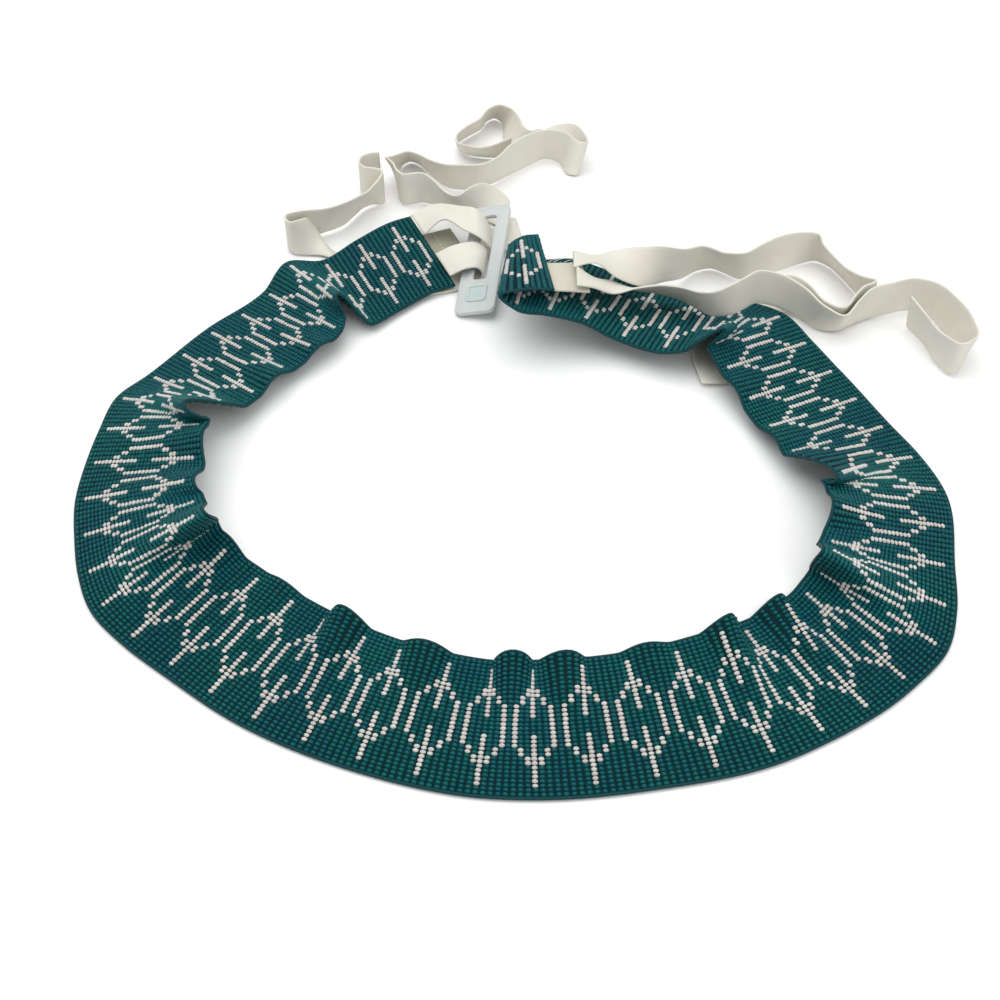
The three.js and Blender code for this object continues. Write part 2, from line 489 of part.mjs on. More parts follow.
// Outline of a rectangle with rounded corners, centred across and starting at y = start
function roundedOutline(outline, width, start, length, radius) {
  const half = width / 2;
  outline.moveTo(-half + radius, start);
  outline.lineTo(half - radius, start);
  outline.absarc(half - radius, start + radius, radius, -Math.PI / 2, 0);
  outline.lineTo(half, start + length - radius);
  outline.absarc(half - radius, start + length - radius, radius, 0, Math.PI / 2);
  outline.lineTo(-half + radius, start + length);
  outline.absarc(-half + radius, start + length - radius, radius, Math.PI / 2, Math.PI);
  outline.lineTo(-half, start + radius);
  outline.absarc(-half + radius, start + radius, radius, Math.PI, 1.5 * Math.PI);
  return outline;
}

function placeOf(share) {
  return new THREE.Vector3(share.x * LOOP_WIDTH, share.y * LOOP_DEPTH, share.lift * TAPE_WIDTH);
}

const plate = roundedOutline(new THREE.Shape(), HANGER_WIDTH, 0, HANGER_LENGTH, HANGER_CORNER);
plate.holes.push(roundedOutline(new THREE.Path(), HANGER_WINDOW_WIDTH, HANGER_WINDOW_START,
  HANGER_WINDOW_LENGTH, HANGER_WINDOW_CORNER));
const plateGeometry = new THREE.ExtrudeGeometry(plate, {
  depth: HANGER_THICKNESS, bevelEnabled: false, curveSegments: HANGER_CORNER_STEPS, steps: 1,
});
plateGeometry.translate(0, 0, -HANGER_THICKNESS / 2);
const hanger = add('plastic_hanger', plateGeometry, HANGER_FINISH);
const hangerFoot = placeOf(HANGER_FOOT);
const hangerLong = placeOf(HANGER_HEAD).sub(hangerFoot).normalize();
const hangerAcross = new THREE.Vector3().crossVectors(hangerLong, new THREE.Vector3(0, 0, 1)).normalize();
hangerAcross.applyAxisAngle(hangerLong, -HANGER_ROLL * DEG);
const hangerUp = new THREE.Vector3().crossVectors(hangerAcross, hangerLong);
hanger.quaternion.setFromRotationMatrix(new THREE.Matrix4().makeBasis(hangerAcross, hangerLong, hangerUp));
hanger.position.copy(hangerFoot);
// The origin is the middle of the footprint, on the surface
const footprint = new THREE.Box3().setFromObject(group, true).getCenter(new THREE.Vector3());
group.position.set(-footprint.x, -footprint.y, 0);

export default group;
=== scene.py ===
# Beaded belt laid in a loop on a pale floor: seed bead band, cloth facings, four tape ties, plastic hanger.
import math

import bpy
import numpy as np
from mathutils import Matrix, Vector


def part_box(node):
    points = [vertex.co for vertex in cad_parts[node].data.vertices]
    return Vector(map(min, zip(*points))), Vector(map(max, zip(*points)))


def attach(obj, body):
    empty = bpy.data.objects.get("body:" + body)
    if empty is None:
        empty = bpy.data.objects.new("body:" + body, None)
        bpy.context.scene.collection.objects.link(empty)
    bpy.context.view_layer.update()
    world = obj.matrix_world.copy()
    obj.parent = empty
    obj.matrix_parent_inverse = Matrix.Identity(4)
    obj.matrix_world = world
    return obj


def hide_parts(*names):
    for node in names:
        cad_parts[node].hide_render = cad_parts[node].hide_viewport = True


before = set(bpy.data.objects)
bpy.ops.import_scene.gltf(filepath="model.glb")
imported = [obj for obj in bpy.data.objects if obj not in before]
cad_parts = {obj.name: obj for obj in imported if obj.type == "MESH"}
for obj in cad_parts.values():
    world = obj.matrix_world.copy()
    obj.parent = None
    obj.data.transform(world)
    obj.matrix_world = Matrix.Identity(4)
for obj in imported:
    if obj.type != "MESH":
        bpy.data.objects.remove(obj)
bpy.context.view_layer.update()

# Sizes of the belt, in millimetres
MM = 0.001
BEAD_PITCH = 2.12
COLUMNS_PER_MOTIF = 8
MOTIF_LENGTH = BEAD_PITCH * COLUMNS_PER_MOTIF
MOTIF_START = 0.4375
MOTIF_END = 50.5625
BEAD_ROWS = 32
BAND_WIDTH = 46.4
BAND_THICKNESS = 2
LOOP_WIDTH = 285
LOOP_DEPTH = 292
TAPE_WIDTH = 15
TAPE_THICKNESS = 1
FACING_LENGTH = 18
FACING_THICKNESS = 1.2
SEAM_GAP = 0.35
HANGER_LENGTH = 61
HANGER_WIDTH = 16
HANGER_THICKNESS = 2
HANGER_CORNER = 3
HANGER_WINDOW_WIDTH = 5.4
HANGER_WINDOW_START = 18
HANGER_HEAD_BAR = 6
HANGER_WINDOW_CORNER = 1.6
HANGER_ROLL = 14

# motif, x, y, lift, turn, rise
BAND_ROWS = [
    (0, -0.115, 0.95, 0.11, -66, -3), (1, -0.168, 0.929, 0.09, -66, -3),
    (2, -0.213, 0.891, 0.07, -65, -2), (3, -0.257, 0.85, 0.045, -63, 1),
    (4, -0.308, 0.846, 0.04, -53, 7), (5, -0.332, 0.789, 0, -45, 8), (7, -0.399, 0.707, 0, -42, 6),
    (9, -0.459, 0.616, 0, -39, 10), (10, -0.491, 0.573, 0, -27, 16), (11, -0.5, 0.516, 0, -20, 19),
    (12, -0.504, 0.457, 0, -14, 16), (13, -0.503, 0.396, 0, -8, 18), (14, -0.491, 0.337, 0, 1, 21),
    (15, -0.474, 0.28, 0, 16, 20), (16, -0.449, 0.23, 0, 40, 12), (17, -0.407, 0.187, 0, 54, 3),
    (18, -0.36, 0.15, 0, 57, 1), (20, -0.264, 0.083, 0, 63, 1), (22, -0.153, 0.034, 0, 75, 0),
    (24, -0.035, 0.005, 0, 83, 0), (25, 0.024, 0.002, 0, 91, 1), (27, 0.144, 0.014, 0, 98, 1),
    (29, 0.262, 0.042, 0, 107, 4), (30, 0.317, 0.068, 0, 116, 1), (32, 0.414, 0.133, 0, 127, 2),
    (33, 0.458, 0.178, 0, 141, 8), (34, 0.481, 0.233, 0, 163, 15), (35, 0.493, 0.293, 0, 182, 18),
    (37, 0.509, 0.412, 0, 193, 17), (38, 0.493, 0.469, 0, 203, 12), (39, 0.468, 0.524, 0, 209, 8),
    (41, 0.423, 0.628, 0, 212, 7), (42, 0.397, 0.68, 0.02, 215, 10),
    (43, 0.368, 0.729, 0.05, 222, 13), (44, 0.317, 0.758, 0.05, 244, 13),
    (45, 0.258, 0.769, 0.04, 247, 9), (46, 0.204, 0.795, 0.01, 248, 10),
    (47, 0.147, 0.806, 0.11, 251, 12), (48, 0.088, 0.808, 0.24, 256, 10),
    (49, 0.03, 0.805, 0.27, 262, 13), (49.5, 0.003, 0.812, 0.35, 265, 14),
    (50, 0.018, 0.818, 0.42, 272, 12), (50.6, 0.043, 0.822, 0.43, 276, 10),
]

# motif, half, height, lean, belly, from
FOLD_ROWS = [
    (3.75, 0.8, 0.16, 0.1, 0.02, 0.3), (5.9, 0.6, 0.05, 0, 0.01, 0.5),
    (7.4, 0.6, 0.06, 0, 0.01, 0.5), (9.6, 1.1, 0.24, 0.26, 0.07, 0.25),
    (11.6, 0.7, 0.07, 0, 0.02, 0.4), (13, 0.6, 0.1, 0.07, 0.02, 0.2),
    (15.1, 0.9, 0.2, 0.16, 0.03, 0.2), (16.9, 0.6, 0.08, 0.03, 0.02, 0.5),
    (18.6, 0.6, 0.04, 0, 0.01, 0.5), (20.5, 0.6, 0.13, -0.04, 0.02, 0.4),
    (22.5, 0.6, 0.08, 0, 0.02, 0.5), (24.5, 0.55, 0.11, 0, 0.03, 0.5),
    (25.7, 0.5, 0.09, 0.02, 0.02, 0.5), (27.4, 0.6, 0.06, 0, 0.01, 0.5),
    (29.2, 0.6, 0.13, 0.05, 0.02, 0.35), (30.9, 0.55, 0.11, 0.05, 0.02, 0.4),
    (33.7, 1, 0.22, -0.16, 0.03, 0.2), (36, 0.6, 0.07, 0, 0.02, 0.5),
    (38.1, 0.95, 0.21, -0.25, 0.06, 0.3), (39.6, 0.6, 0.06, -0.02, 0.01, 0.5),
    (41.3, 0.6, 0.05, -0.02, 0.01, 0.5), (43.7, 0.85, 0.18, -0.1, 0.04, 0.3),
]

# x, y, lift, turn, stand
TIE_LEFT_UPPER = [
    (-0.117, 0.889, 0.5, 114, 0), (-0.091, 0.897, 0.86, 110, -8), (-0.058, 0.869, 0.88, 98, 7),
    (-0.041, 0.859, 0.84, 95, 13), (-0.031, 0.858, 0.68, 94, 10), (-0.019, 0.862, 0.34, 93, 2),
    (-0.004, 0.868, 0.3, 93, 3), (0.012, 0.882, 0.27, 95, 6), (0.021, 0.897, 0.18, 100, 5),
    (0.016, 0.914, 0.07, 105, 4), (-0.003, 0.934, 0.03, 85, 5), (-0.02, 0.95, 0.03, 65, 16),
    (-0.036, 0.96, 0.03, 72, 48), (-0.052, 0.967, 0.03, 84, 90), (-0.07, 0.976, 0.03, 90, 116),
    (-0.089, 0.988, 0.03, 90, 118), (-0.107, 1, 0.03, 90, 104), (-0.124, 1.006, 0.03, 90, 93),
    (-0.139, 1.002, 0.03, 90, 90), (-0.15, 1, 0.03, 120, 90), (-0.158, 1.011, 0.03, 175, 87),
    (-0.16, 1.03, 0.03, 188, 82), (-0.161, 1.055, 0.03, 208, 70), (-0.163, 1.084, 0.03, 235, 55),
    (-0.16, 1.106, 0.03, 256, 47), (-0.148, 1.117, 0.03, 264, 47), (-0.134, 1.109, 0.03, 258, 50),
    (-0.12, 1.088, 0.03, 252, 58), (-0.104, 1.062, 0.03, 252, 66), (-0.087, 1.045, 0.03, 258, 72),
    (-0.066, 1.04, 0.03, 266, 75), (-0.042, 1.045, 0.03, 276, 72), (-0.018, 1.06, 0.03, 290, 76),
    (0.005, 1.081, 0.03, 300, 88), (0.035, 1.106, 0.03, 120, 86), (0.06, 1.124, 0.03, 90, 94),
    (0.082, 1.112, 0.03, 50, 84), (0.095, 1.08, 0.03, 42, 66), (0.104, 1.078, 0.03, 45, 66),
    (0.101, 1.108, 0.03, 58, 58), (0.085, 1.138, 0.03, 76, 32), (0.064, 1.15, 0.03, 84, 10),
    (0.042, 1.144, 0.03, 70, 10), (0.022, 1.134, 0.03, 45, 28), (0.007, 1.14, 0.03, 0, 48),
    (-0.003, 1.16, 0.03, -22, 52), (-0.005, 1.185, 0.03, -34, 52), (-0.005, 1.21, 0.03, -50, 52),
    (-0.01, 1.234, 0.03, -66, 52), (-0.02, 1.243, 0.03, -74, 52), (-0.031, 1.235, 0.03, -80, 52),
    (-0.043, 1.208, 0.03, -90, 48), (-0.062, 1.188, 0.03, -93, 46), (-0.075, 1.17, 0.03, -93, 43),
    (-0.074, 1.15, 0.03, -92, 43), (-0.058, 1.136, 0.03, -90, 45), (-0.038, 1.13, 0.03, -90, 46),
    (-0.02, 1.128, 0.03, -88, 52), (-0.006, 1.127, 0.03, -86, 60), (0.004, 1.126, 0.03, -84, 66),
]

# x, y, lift, turn, stand
TIE_LEFT_LOWER = [
    (-0.079, 0.803, 0.36, 114, 3), (-0.055, 0.806, 0.56, 106, 5), (-0.042, 0.81, 0.52, 94, 7),
    (-0.0345, 0.812, 0.3, 85, 7), (-0.0355, 0.811, 0.14, 85, 5), (-0.045, 0.808, 0.05, 94, 1),
    (-0.06, 0.799, 0.03, 104, 0), (-0.082, 0.79, 0.03, 108, 0), (-0.109, 0.785, 0.03, 106, 0),
    (-0.155, 0.794, 0.03, 106, 0), (-0.203, 0.822, 0.03, 112, 0), (-0.236, 0.855, 0.03, 118, 2),
    (-0.261, 0.873, 0.04, 110, 28), (-0.284, 0.876, 0.03, 100, 72), (-0.303, 0.88, 0.03, 90, 90),
    (-0.311, 0.896, 0.03, 90, 90), (-0.297, 0.911, 0.06, 110, 98), (-0.264, 0.927, 0.07, 120, 108),
    (-0.239, 0.944, 0.07, 124, 110), (-0.224, 0.968, 0.07, 130, 116),
    (-0.211, 0.99, 0.07, 115, 122), (-0.196, 1, 0.06, 95, 118), (-0.184, 1.002, 0.03, 90, 100),
    (-0.182, 1.011, 0.03, 90, 92), (-0.193, 1.016, 0.03, 90, 90), (-0.208, 1.019, 0.03, 120, 90),
    (-0.217, 1.031, 0.03, 180, 90), (-0.215, 1.047, 0.03, 200, 90), (-0.204, 1.057, 0.03, 240, 88),
    (-0.189, 1.062, 0.03, 260, 86),
]

# x, y, lift, turn, stand
TIE_RIGHT_UPPER = [
    (0.084, 0.72, 1.8, 88, -12), (0.11, 0.731, 1.78, 86, -25), (0.143, 0.737, 1.24, 88, 8),
    (0.18, 0.759, 0.66, 90, 50), (0.212, 0.79, 0.36, 90, 80), (0.24, 0.818, 0.08, 105, 95),
    (0.265, 0.84, 0.03, 105, 106), (0.284, 0.845, 0.03, 90, 116), (0.302, 0.834, 0.03, 70, 114),
    (0.321, 0.82, 0.03, 90, 102), (0.347, 0.828, 0.03, 110, 90), (0.384, 0.842, 0.03, 100, 79),
    (0.412, 0.856, 0.03, 100, 90), (0.433, 0.862, 0.03, 70, 102), (0.448, 0.851, 0.03, 40, 114),
    (0.464, 0.822, 0.03, 35, 119), (0.476, 0.79, 0.03, 35, 116), (0.486, 0.766, 0.03, 40, 106),
    (0.49, 0.754, 0.03, 60, 96), (0.483, 0.745, 0.03, 85, 92), (0.47, 0.738, 0.03, 104, 92),
    (0.455, 0.728, 0.03, 106, 98), (0.436, 0.717, 0.03, 92, 114), (0.415, 0.718, 0.03, 82, 105),
    (0.393, 0.734, 0.03, 86, 76), (0.371, 0.745, 0.03, 92, 34), (0.347, 0.741, 0.03, 98, 6),
    (0.319, 0.722, 0.03, 122, 0), (0.3, 0.69, 0.03, 155, 0), (0.292, 0.652, 0.03, 174, 3),
    (0.297, 0.603, 0.03, 187, 6),
]

# x, y, lift, turn, stand
TIE_RIGHT_LOWER = [
    (0.088, 0.721, 1.8, 268, 10), (0.111, 0.728, 1.38, 266, 22), (0.138, 0.746, 1, 268, 19),
    (0.167, 0.75, 0.7, 268, 38), (0.2, 0.75, 0.58, 270, 48), (0.224, 0.742, 0.55, 270, 52),
    (0.247, 0.722, 0.55, 270, 59), (0.27, 0.698, 0.63, 270, 77), (0.288, 0.697, 0.68, 90, 92),
    (0.307, 0.715, 0.56, 90, 88), (0.331, 0.738, 0.44, 95, 88), (0.357, 0.739, 0.32, 90, 88),
    (0.388, 0.726, 0.14, 88, 92), (0.415, 0.71, 0.03, 80, 108), (0.436, 0.708, 0.03, 90, 120),
    (0.453, 0.718, 0.03, 110, 104), (0.478, 0.732, 0.03, 110, 92), (0.51, 0.743, 0.03, 100, 90),
    (0.54, 0.75, 0.03, 90, 88), (0.563, 0.738, 0.03, 45, 84), (0.576, 0.708, 0.03, 0, 78),
    (0.581, 0.668, 0.03, 0, 72), (0.579, 0.634, 0.03, -10, 76), (0.568, 0.618, 0.03, -20, 88),
    (0.556, 0.636, 0.03, 24, 95), (0.545, 0.682, 0.03, 24, 100), (0.531, 0.716, 0.03, 24, 96),
]
# name, motif number of the band end, way into the band, hidden share, from, to
FACING_ROWS = [
    ("left_facing", "facing_left", MOTIF_START, 1, 0.3, 0.22, 0.66),
    ("right_facing", "facing_right", MOTIF_END, -1, 0.24, 0.46, 0.94),
]
TIE_PIECES = [
    ("left_upper_tape", "tie_left_upper", TIE_LEFT_UPPER),
    ("left_lower_tape", "tie_left_lower", TIE_LEFT_LOWER),
    ("right_upper_tape", "tie_right_upper", TIE_RIGHT_UPPER),
    ("right_lower_tape", "tie_right_lower", TIE_RIGHT_LOWER),
]
# x, y, lift of the middles of the hanger's lower and upper ends
HANGER_FOOT = (-0.045, 0.734, 0.21)
HANGER_HEAD = (-0.021, 0.941, 0.75)


def through(stations, values, at):
    """Smooth curve through values given at rising stations."""
    stations = np.asarray(stations, float)
    values = np.asarray(values, float)
    last = len(stations) - 1
    rate = np.diff(values) / np.diff(stations)
    gap = np.diff(stations)
    slope = np.empty(last + 1)
    slope[0] = rate[0]
    slope[last] = rate[-1]
    slope[1:last] = (rate[:-1] * gap[1:] + rate[1:] * gap[:-1]) / (gap[:-1] + gap[1:])
    at = np.asarray(at, float)
    i = np.searchsorted(stations[1:last], at, side="left")
    span = stations[i + 1] - stations[i]
    t = (at - stations[i]) / span
    t2 = t * t
    t3 = t2 * t
    start = (2 * t3 - 3 * t2 + 1) * values[i] + (t3 - 2 * t2 + t) * span * slope[i]
    end = (3 * t2 - 2 * t3) * values[i + 1] + (t3 - t2) * span * slope[i + 1]
    return start + end


def unit(v):
    return v / np.linalg.norm(v, axis=-1, keepdims=True)


def rails_of(rows, lift_unit, base_lift, stations=None):
    """Edge points and width directions of a strip; stations run along its edge unless given."""
    table = np.array(rows, float)
    edge = table[:, :3] * (LOOP_WIDTH, LOOP_DEPTH, lift_unit)
    edge[:, 2] += base_lift
    turn = np.radians(table[:, 3])
    climb = np.radians(table[:, 4])
    width = np.stack([np.cos(climb) * np.cos(turn), np.cos(climb) * np.sin(turn), np.sin(climb)], 1)
    if stations is None:
        steps = np.linalg.norm(np.diff(edge, axis=0), axis=1)
        stations = np.concatenate([[0], np.cumsum(steps)])
    return stations, edge, width


def frame_at(rails, at):
    stations, edge, width = rails
    point = np.stack([through(stations, edge[:, k], at) for k in range(3)], -1)
    across = np.stack([through(stations, width[:, k], at) for k in range(3)], -1)
    return point, unit(across)


band_rails = rails_of([row[1:] for row in BAND_ROWS], BAND_WIDTH, BAND_THICKNESS / 2,
                      [row[0] for row in BAND_ROWS])


def band_point(motif, share):
    """Middle surface of the band: motif number along it, share of the width across it."""
    motif, share = np.broadcast_arrays(np.asarray(motif, float), np.asarray(share, float))
    point, across = frame_at(band_rails, motif)
    along = frame_at(band_rails, motif + 0.02)[0] - frame_at(band_rails, motif - 0.02)[0]
    along[..., 2] = 0
    along = unit(along)
    up = unit(np.cross(along, across))
    spot = point + across * (share * BAND_WIDTH)[..., None]
    for middle, half, height, lean, belly, start in FOLD_ROWS:
        t = (motif - middle) / half
        inside = (np.abs(t) < 1) & (share > start)
        crest = np.where(inside, (1 + np.cos(np.pi * t)) / 2, 0)
        reach = np.where(inside, np.maximum(share - start, 0) / (1 - start), 0) ** 1.3
        shift = np.where(inside, lean * crest + belly * np.sin(np.pi * t), 0)
        spot = spot + up * (height * BAND_WIDTH * crest * reach)[..., None]
        spot = spot + along * (shift * BAND_WIDTH * reach)[..., None]
    spot[..., 2] = np.maximum(spot[..., 2], BAND_THICKNESS / 2)
    return spot


def surface_normal(surface, s, v, step_s, step_v):
    a = surface(s + step_s, v) - surface(s - step_s, v)
    b = surface(s, v + step_v) - surface(s, v - step_v)
    return unit(np.cross(a, b))


# The CAD frame has its origin at the middle of the footprint; the tables start from the loop's own corner.
band_box_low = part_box("beaded_band")[0]
slab_motif, slab_share = np.meshgrid(np.linspace(MOTIF_START, MOTIF_END, 252), np.linspace(0, 1, 15))
slab_normal = surface_normal(band_point, slab_motif, slab_share, 0.05, 0.001)
slab_top = band_point(slab_motif, slab_share) + slab_normal * BAND_THICKNESS / 2
slab_under = band_point(slab_motif, slab_share) - slab_normal * BAND_THICKNESS / 2
slab_low = np.minimum(slab_top.min((0, 1)), slab_under.min((0, 1)))
footprint = np.array([slab_low[0] - band_box_low.x / MM, slab_low[1] - band_box_low.y / MM, 0])
def placed(points):
    """Layout millimetres to frame metres."""
    return (np.asarray(points, float) - footprint) * MM


def mesh_piece(name, verts, faces, material=None, smooth=True):
    mesh = bpy.data.meshes.new(name)
    mesh.from_pydata([tuple(p) for p in verts], [], [tuple(int(k) for k in f) for f in faces])
    mesh.validate()
    if smooth:
        mesh.shade_smooth()
    piece = bpy.data.objects.new(name, mesh)
    bpy.context.scene.collection.objects.link(piece)
    if material:
        mesh.materials.append(material)
    return piece


def tube_faces(rings, around):
    """Quads of a closed tube of rings, with a cap at each end."""
    faces = []
    for i in range(rings - 1):
        for j in range(around):
            k = (j + 1) % around
            faces.append((i * around + j, (i + 1) * around + j, (i + 1) * around + k, i * around + k))
    faces.append(tuple(range(around)))
    faces.append(tuple(reversed(range((rings - 1) * around, rings * around))))
    return faces


def cloth_section(steps, thickness, width):
    """Round-edged cross section: shares across the width and heights off the middle."""
    edge = thickness / 2 / width
    top = [(edge * 0.3, 0.35), (edge, 0.46)] + [(u, 0.5) for u in np.linspace(0, 1, steps + 1)[1:-1]]
    top += [(1 - edge, 0.46), (1 - edge * 0.3, 0.35)]
    under = [(u, -h) for u, h in reversed(top)]
    section = [(0, 0)] + top + [(1, 0)] + under
    return np.array(section) * (1, thickness)


def cloth_strip(name, surface, stations, section, material, lengths=None):
    """Closed strip of cloth about a surface; its UV map holds metres along and across."""
    around = len(section)
    s, u = np.meshgrid(stations, section[:, 0], indexing="ij")
    normal = surface_normal(surface, s, u, 0.05, 0.002)
    points = surface(s, u) + normal * section[:, 1][None, :, None]
    points[..., 2] = np.maximum(points[..., 2], 0.02)
    piece = mesh_piece(name, placed(points.reshape(-1, 3)), tube_faces(len(stations), around), material)
    along = np.asarray(stations if lengths is None else lengths, float)
    uv = piece.data.uv_layers.new(name="cloth")
    loop_vertex = np.empty(len(piece.data.loops), int)
    piece.data.loops.foreach_get("vertex_index", loop_vertex)
    flat = np.stack([along[loop_vertex // around] * MM, section[loop_vertex % around, 0] * TAPE_WIDTH * MM], 1)
    uv.data.foreach_set("uv", flat.ravel())
    return piece


# Materials
def material_of(name, colour, roughness, specular=0.5):
    material = bpy.data.materials.new(name)
    material.use_nodes = True
    tree = material.node_tree
    shader = tree.nodes["Principled BSDF"]
    shader.inputs["Base Color"].default_value = (*colour, 1)
    shader.inputs["Roughness"].default_value = roughness
    shader.inputs["Specular IOR Level"].default_value = specular
    return material, tree, shader


def mixed(tree, kind, a, b):
    mix = tree.nodes.new("ShaderNodeMix")
    mix.data_type = "RGBA"
    mix.blend_type = kind
    mix.inputs["A"].default_value = (*a, 1)
    mix.inputs["B"].default_value = (*b, 1)
    return mix


def weave_group():
    """Fine woven ribs along a cloth: a tone near 1 and a normal, from the piece's own UV in metres."""
    tree = bpy.data.node_groups.new("fine_weave", "ShaderNodeTree")
    socket = tree.interface.new_socket
    socket(name="Rib Scale", in_out="INPUT", socket_type="NodeSocketFloat")
    socket(name="Weft Scale", in_out="INPUT", socket_type="NodeSocketFloat")
    socket(name="Depth", in_out="INPUT", socket_type="NodeSocketFloat")
    socket(name="Tone", in_out="OUTPUT", socket_type="NodeSocketFloat")
    socket(name="Normal", in_out="OUTPUT", socket_type="NodeSocketVector")
    given = tree.nodes.new("NodeGroupInput")
    result = tree.nodes.new("NodeGroupOutput")
    cloth = tree.nodes.new("ShaderNodeUVMap")
    cloth.uv_map = "cloth"
    ribs = tree.nodes.new("ShaderNodeTexWave")
    ribs.bands_direction = "Y"
    ribs.inputs["Distortion"].default_value = 0.6
    ribs.inputs["Detail Scale"].default_value = 2
    wefts = tree.nodes.new("ShaderNodeTexWave")
    wefts.bands_direction = "X"
    wefts.inputs["Distortion"].default_value = 0.9
    both = tree.nodes.new("ShaderNodeMath")
    both.operation = "MULTIPLY_ADD"
    both.inputs[1].default_value = 0.45
    wear = tree.nodes.new("ShaderNodeTexNoise")
    wear.inputs["Scale"].default_value = 90
    wear.inputs["Detail"].default_value = 3
    bump = tree.nodes.new("ShaderNodeBump")
    bump.inputs["Distance"].default_value = 0.00012
    tone = tree.nodes.new("ShaderNodeMapRange")
    tone.inputs["To Min"].default_value = 0.9
    tone.inputs["To Max"].default_value = 1
    blotch = tree.nodes.new("ShaderNodeMapRange")
    blotch.inputs["To Min"].default_value = 0.9
    blotch.inputs["To Max"].default_value = 1.06
    product = tree.nodes.new("ShaderNodeMath")
    product.operation = "MULTIPLY"
    link = tree.links.new
    link(cloth.outputs["UV"], ribs.inputs["Vector"])
    link(cloth.outputs["UV"], wefts.inputs["Vector"])
    link(cloth.outputs["UV"], wear.inputs["Vector"])
    link(given.outputs["Rib Scale"], ribs.inputs["Scale"])
    link(given.outputs["Weft Scale"], wefts.inputs["Scale"])
    link(wefts.outputs["Fac"], both.inputs[0])
    link(ribs.outputs["Fac"], both.inputs[2])
    link(both.outputs[0], bump.inputs["Height"])
    link(given.outputs["Depth"], bump.inputs["Strength"])
    link(both.outputs[0], tone.inputs["Value"])
    link(wear.outputs["Fac"], blotch.inputs["Value"])
    link(tone.outputs[0], product.inputs[0])
    link(blotch.outputs[0], product.inputs[1])
    link(product.outputs[0], result.inputs["Tone"])
    link(bump.outputs[0], result.inputs["Normal"])
    return tree


def woven(name, colour, roughness, specular, rib_scale, weft_scale, depth):
    material, tree, shader = material_of(name, colour, roughness, specular)
    weave = tree.nodes.new("ShaderNodeGroup")
    weave.node_tree = fine_weave
    weave.inputs["Rib Scale"].default_value = rib_scale
    weave.inputs["Weft Scale"].default_value = weft_scale
    weave.inputs["Depth"].default_value = depth
    tint = mixed(tree, "MULTIPLY", colour, (1, 1, 1))
    tint.inputs["Factor"].default_value = 1
    tree.links.new(weave.outputs["Tone"], tint.inputs["B"])
    tree.links.new(tint.outputs["Result"], shader.inputs["Base Color"])
    tree.links.new(weave.outputs["Normal"], shader.inputs["Normal"])
    return material


# Scales of the wave texture, whose bands repeat every 1 / (3.18 * scale) metres
TAPE_RIB_SCALE = 460
TAPE_WEFT_SCALE = 800
FACING_RIB_SCALE = 460
TAPE_COLOUR = (0.73, 0.71, 0.63)
FACING_COLOUR = (0.62, 0.59, 0.5)
# Darker copy of the facing colour for the left facing, with the shade under the tapes painted into it
PAINTED_SHADE_FACING_COLOUR = (0.36, 0.35, 0.28)
fine_weave = weave_group()
beads_material, beads_tree, beads_shader = material_of("seed_bead_glass", (0, 0.08, 0.085), 0.22, 0.18)
thread_material = material_of("bead_thread", (0.002, 0.018, 0.02), 0.9, 0.1)[0]
plastic_colour = (0.62, 0.65, 0.64)
plastic_material, plastic_tree, plastic_shader = material_of("frosted_plastic", plastic_colour, 0.42, 0.4)
tape_material = woven("woven_cotton_tape", TAPE_COLOUR, 0.9, 0.15, TAPE_RIB_SCALE, TAPE_WEFT_SCALE, 0.4)
facing_material = woven("plain_cotton", FACING_COLOUR, 0.95, 0.1, FACING_RIB_SCALE, FACING_RIB_SCALE, 0.5)
# The same cotton in the darker colour, with the left facing's shade painted in
painted_shade_facing_material = woven("cotton_painted_shade", PAINTED_SHADE_FACING_COLOUR, 0.95, 0.1, FACING_RIB_SCALE, FACING_RIB_SCALE, 0.5)

# Beads: teal glass from bluish to greenish, and white ones a little warm or grey
bead_white = beads_tree.nodes.new("ShaderNodeAttribute")
bead_white.attribute_name = "white"
bead_tone = beads_tree.nodes.new("ShaderNodeAttribute")
bead_tone.attribute_name = "tone"
teal = mixed(beads_tree, "MIX", (0.0, 0.064, 0.092), (0.0, 0.096, 0.086))
pale = mixed(beads_tree, "MIX", (0.5, 0.47, 0.45), (0.62, 0.63, 0.6))
bead_mix = mixed(beads_tree, "MIX", (0, 0.08, 0.085), (0.6, 0.6, 0.58))
beads_tree.links.new(bead_tone.outputs["Fac"], teal.inputs["Factor"])
beads_tree.links.new(bead_tone.outputs["Fac"], pale.inputs["Factor"])
beads_tree.links.new(bead_white.outputs["Fac"], bead_mix.inputs["Factor"])
beads_tree.links.new(teal.outputs["Result"], bead_mix.inputs["A"])
beads_tree.links.new(pale.outputs["Result"], bead_mix.inputs["B"])
beads_tree.links.new(bead_mix.outputs["Result"], beads_shader.inputs["Base Color"])

# Frosted plastic: cloudy, letting some light through
plastic_shader.inputs["Subsurface Weight"].default_value = 0.2
plastic_shader.inputs["Subsurface Scale"].default_value = 0.003
plastic_place = plastic_tree.nodes.new("ShaderNodeTexCoord")
plastic_cloud = plastic_tree.nodes.new("ShaderNodeTexNoise")
plastic_cloud.inputs["Scale"].default_value = 500
plastic_tint = mixed(plastic_tree, "MIX", (0.47, 0.51, 0.5), (0.56, 0.6, 0.585))
plastic_tree.links.new(plastic_place.outputs["Object"], plastic_cloud.inputs["Vector"])
plastic_tree.links.new(plastic_cloud.outputs["Fac"], plastic_tint.inputs["Factor"])
plastic_tree.links.new(plastic_tint.outputs["Result"], plastic_shader.inputs["Base Color"])


# Beads
BEAD_DIAMETER = 2.08
BEAD_LENGTH = 1.34
BEAD_SIDES = 7
# spread of a bead's place in millimetres, and of its turn in radians
PLACE_SPREAD = 0.05
TURN_SPREAD = 0.05
# share of the length, share of the diameter
BEAD_PROFILE = [(-0.5, 0.15), (-0.33, 0.39), (0, 0.5), (0.33, 0.39), (0.5, 0.15)]
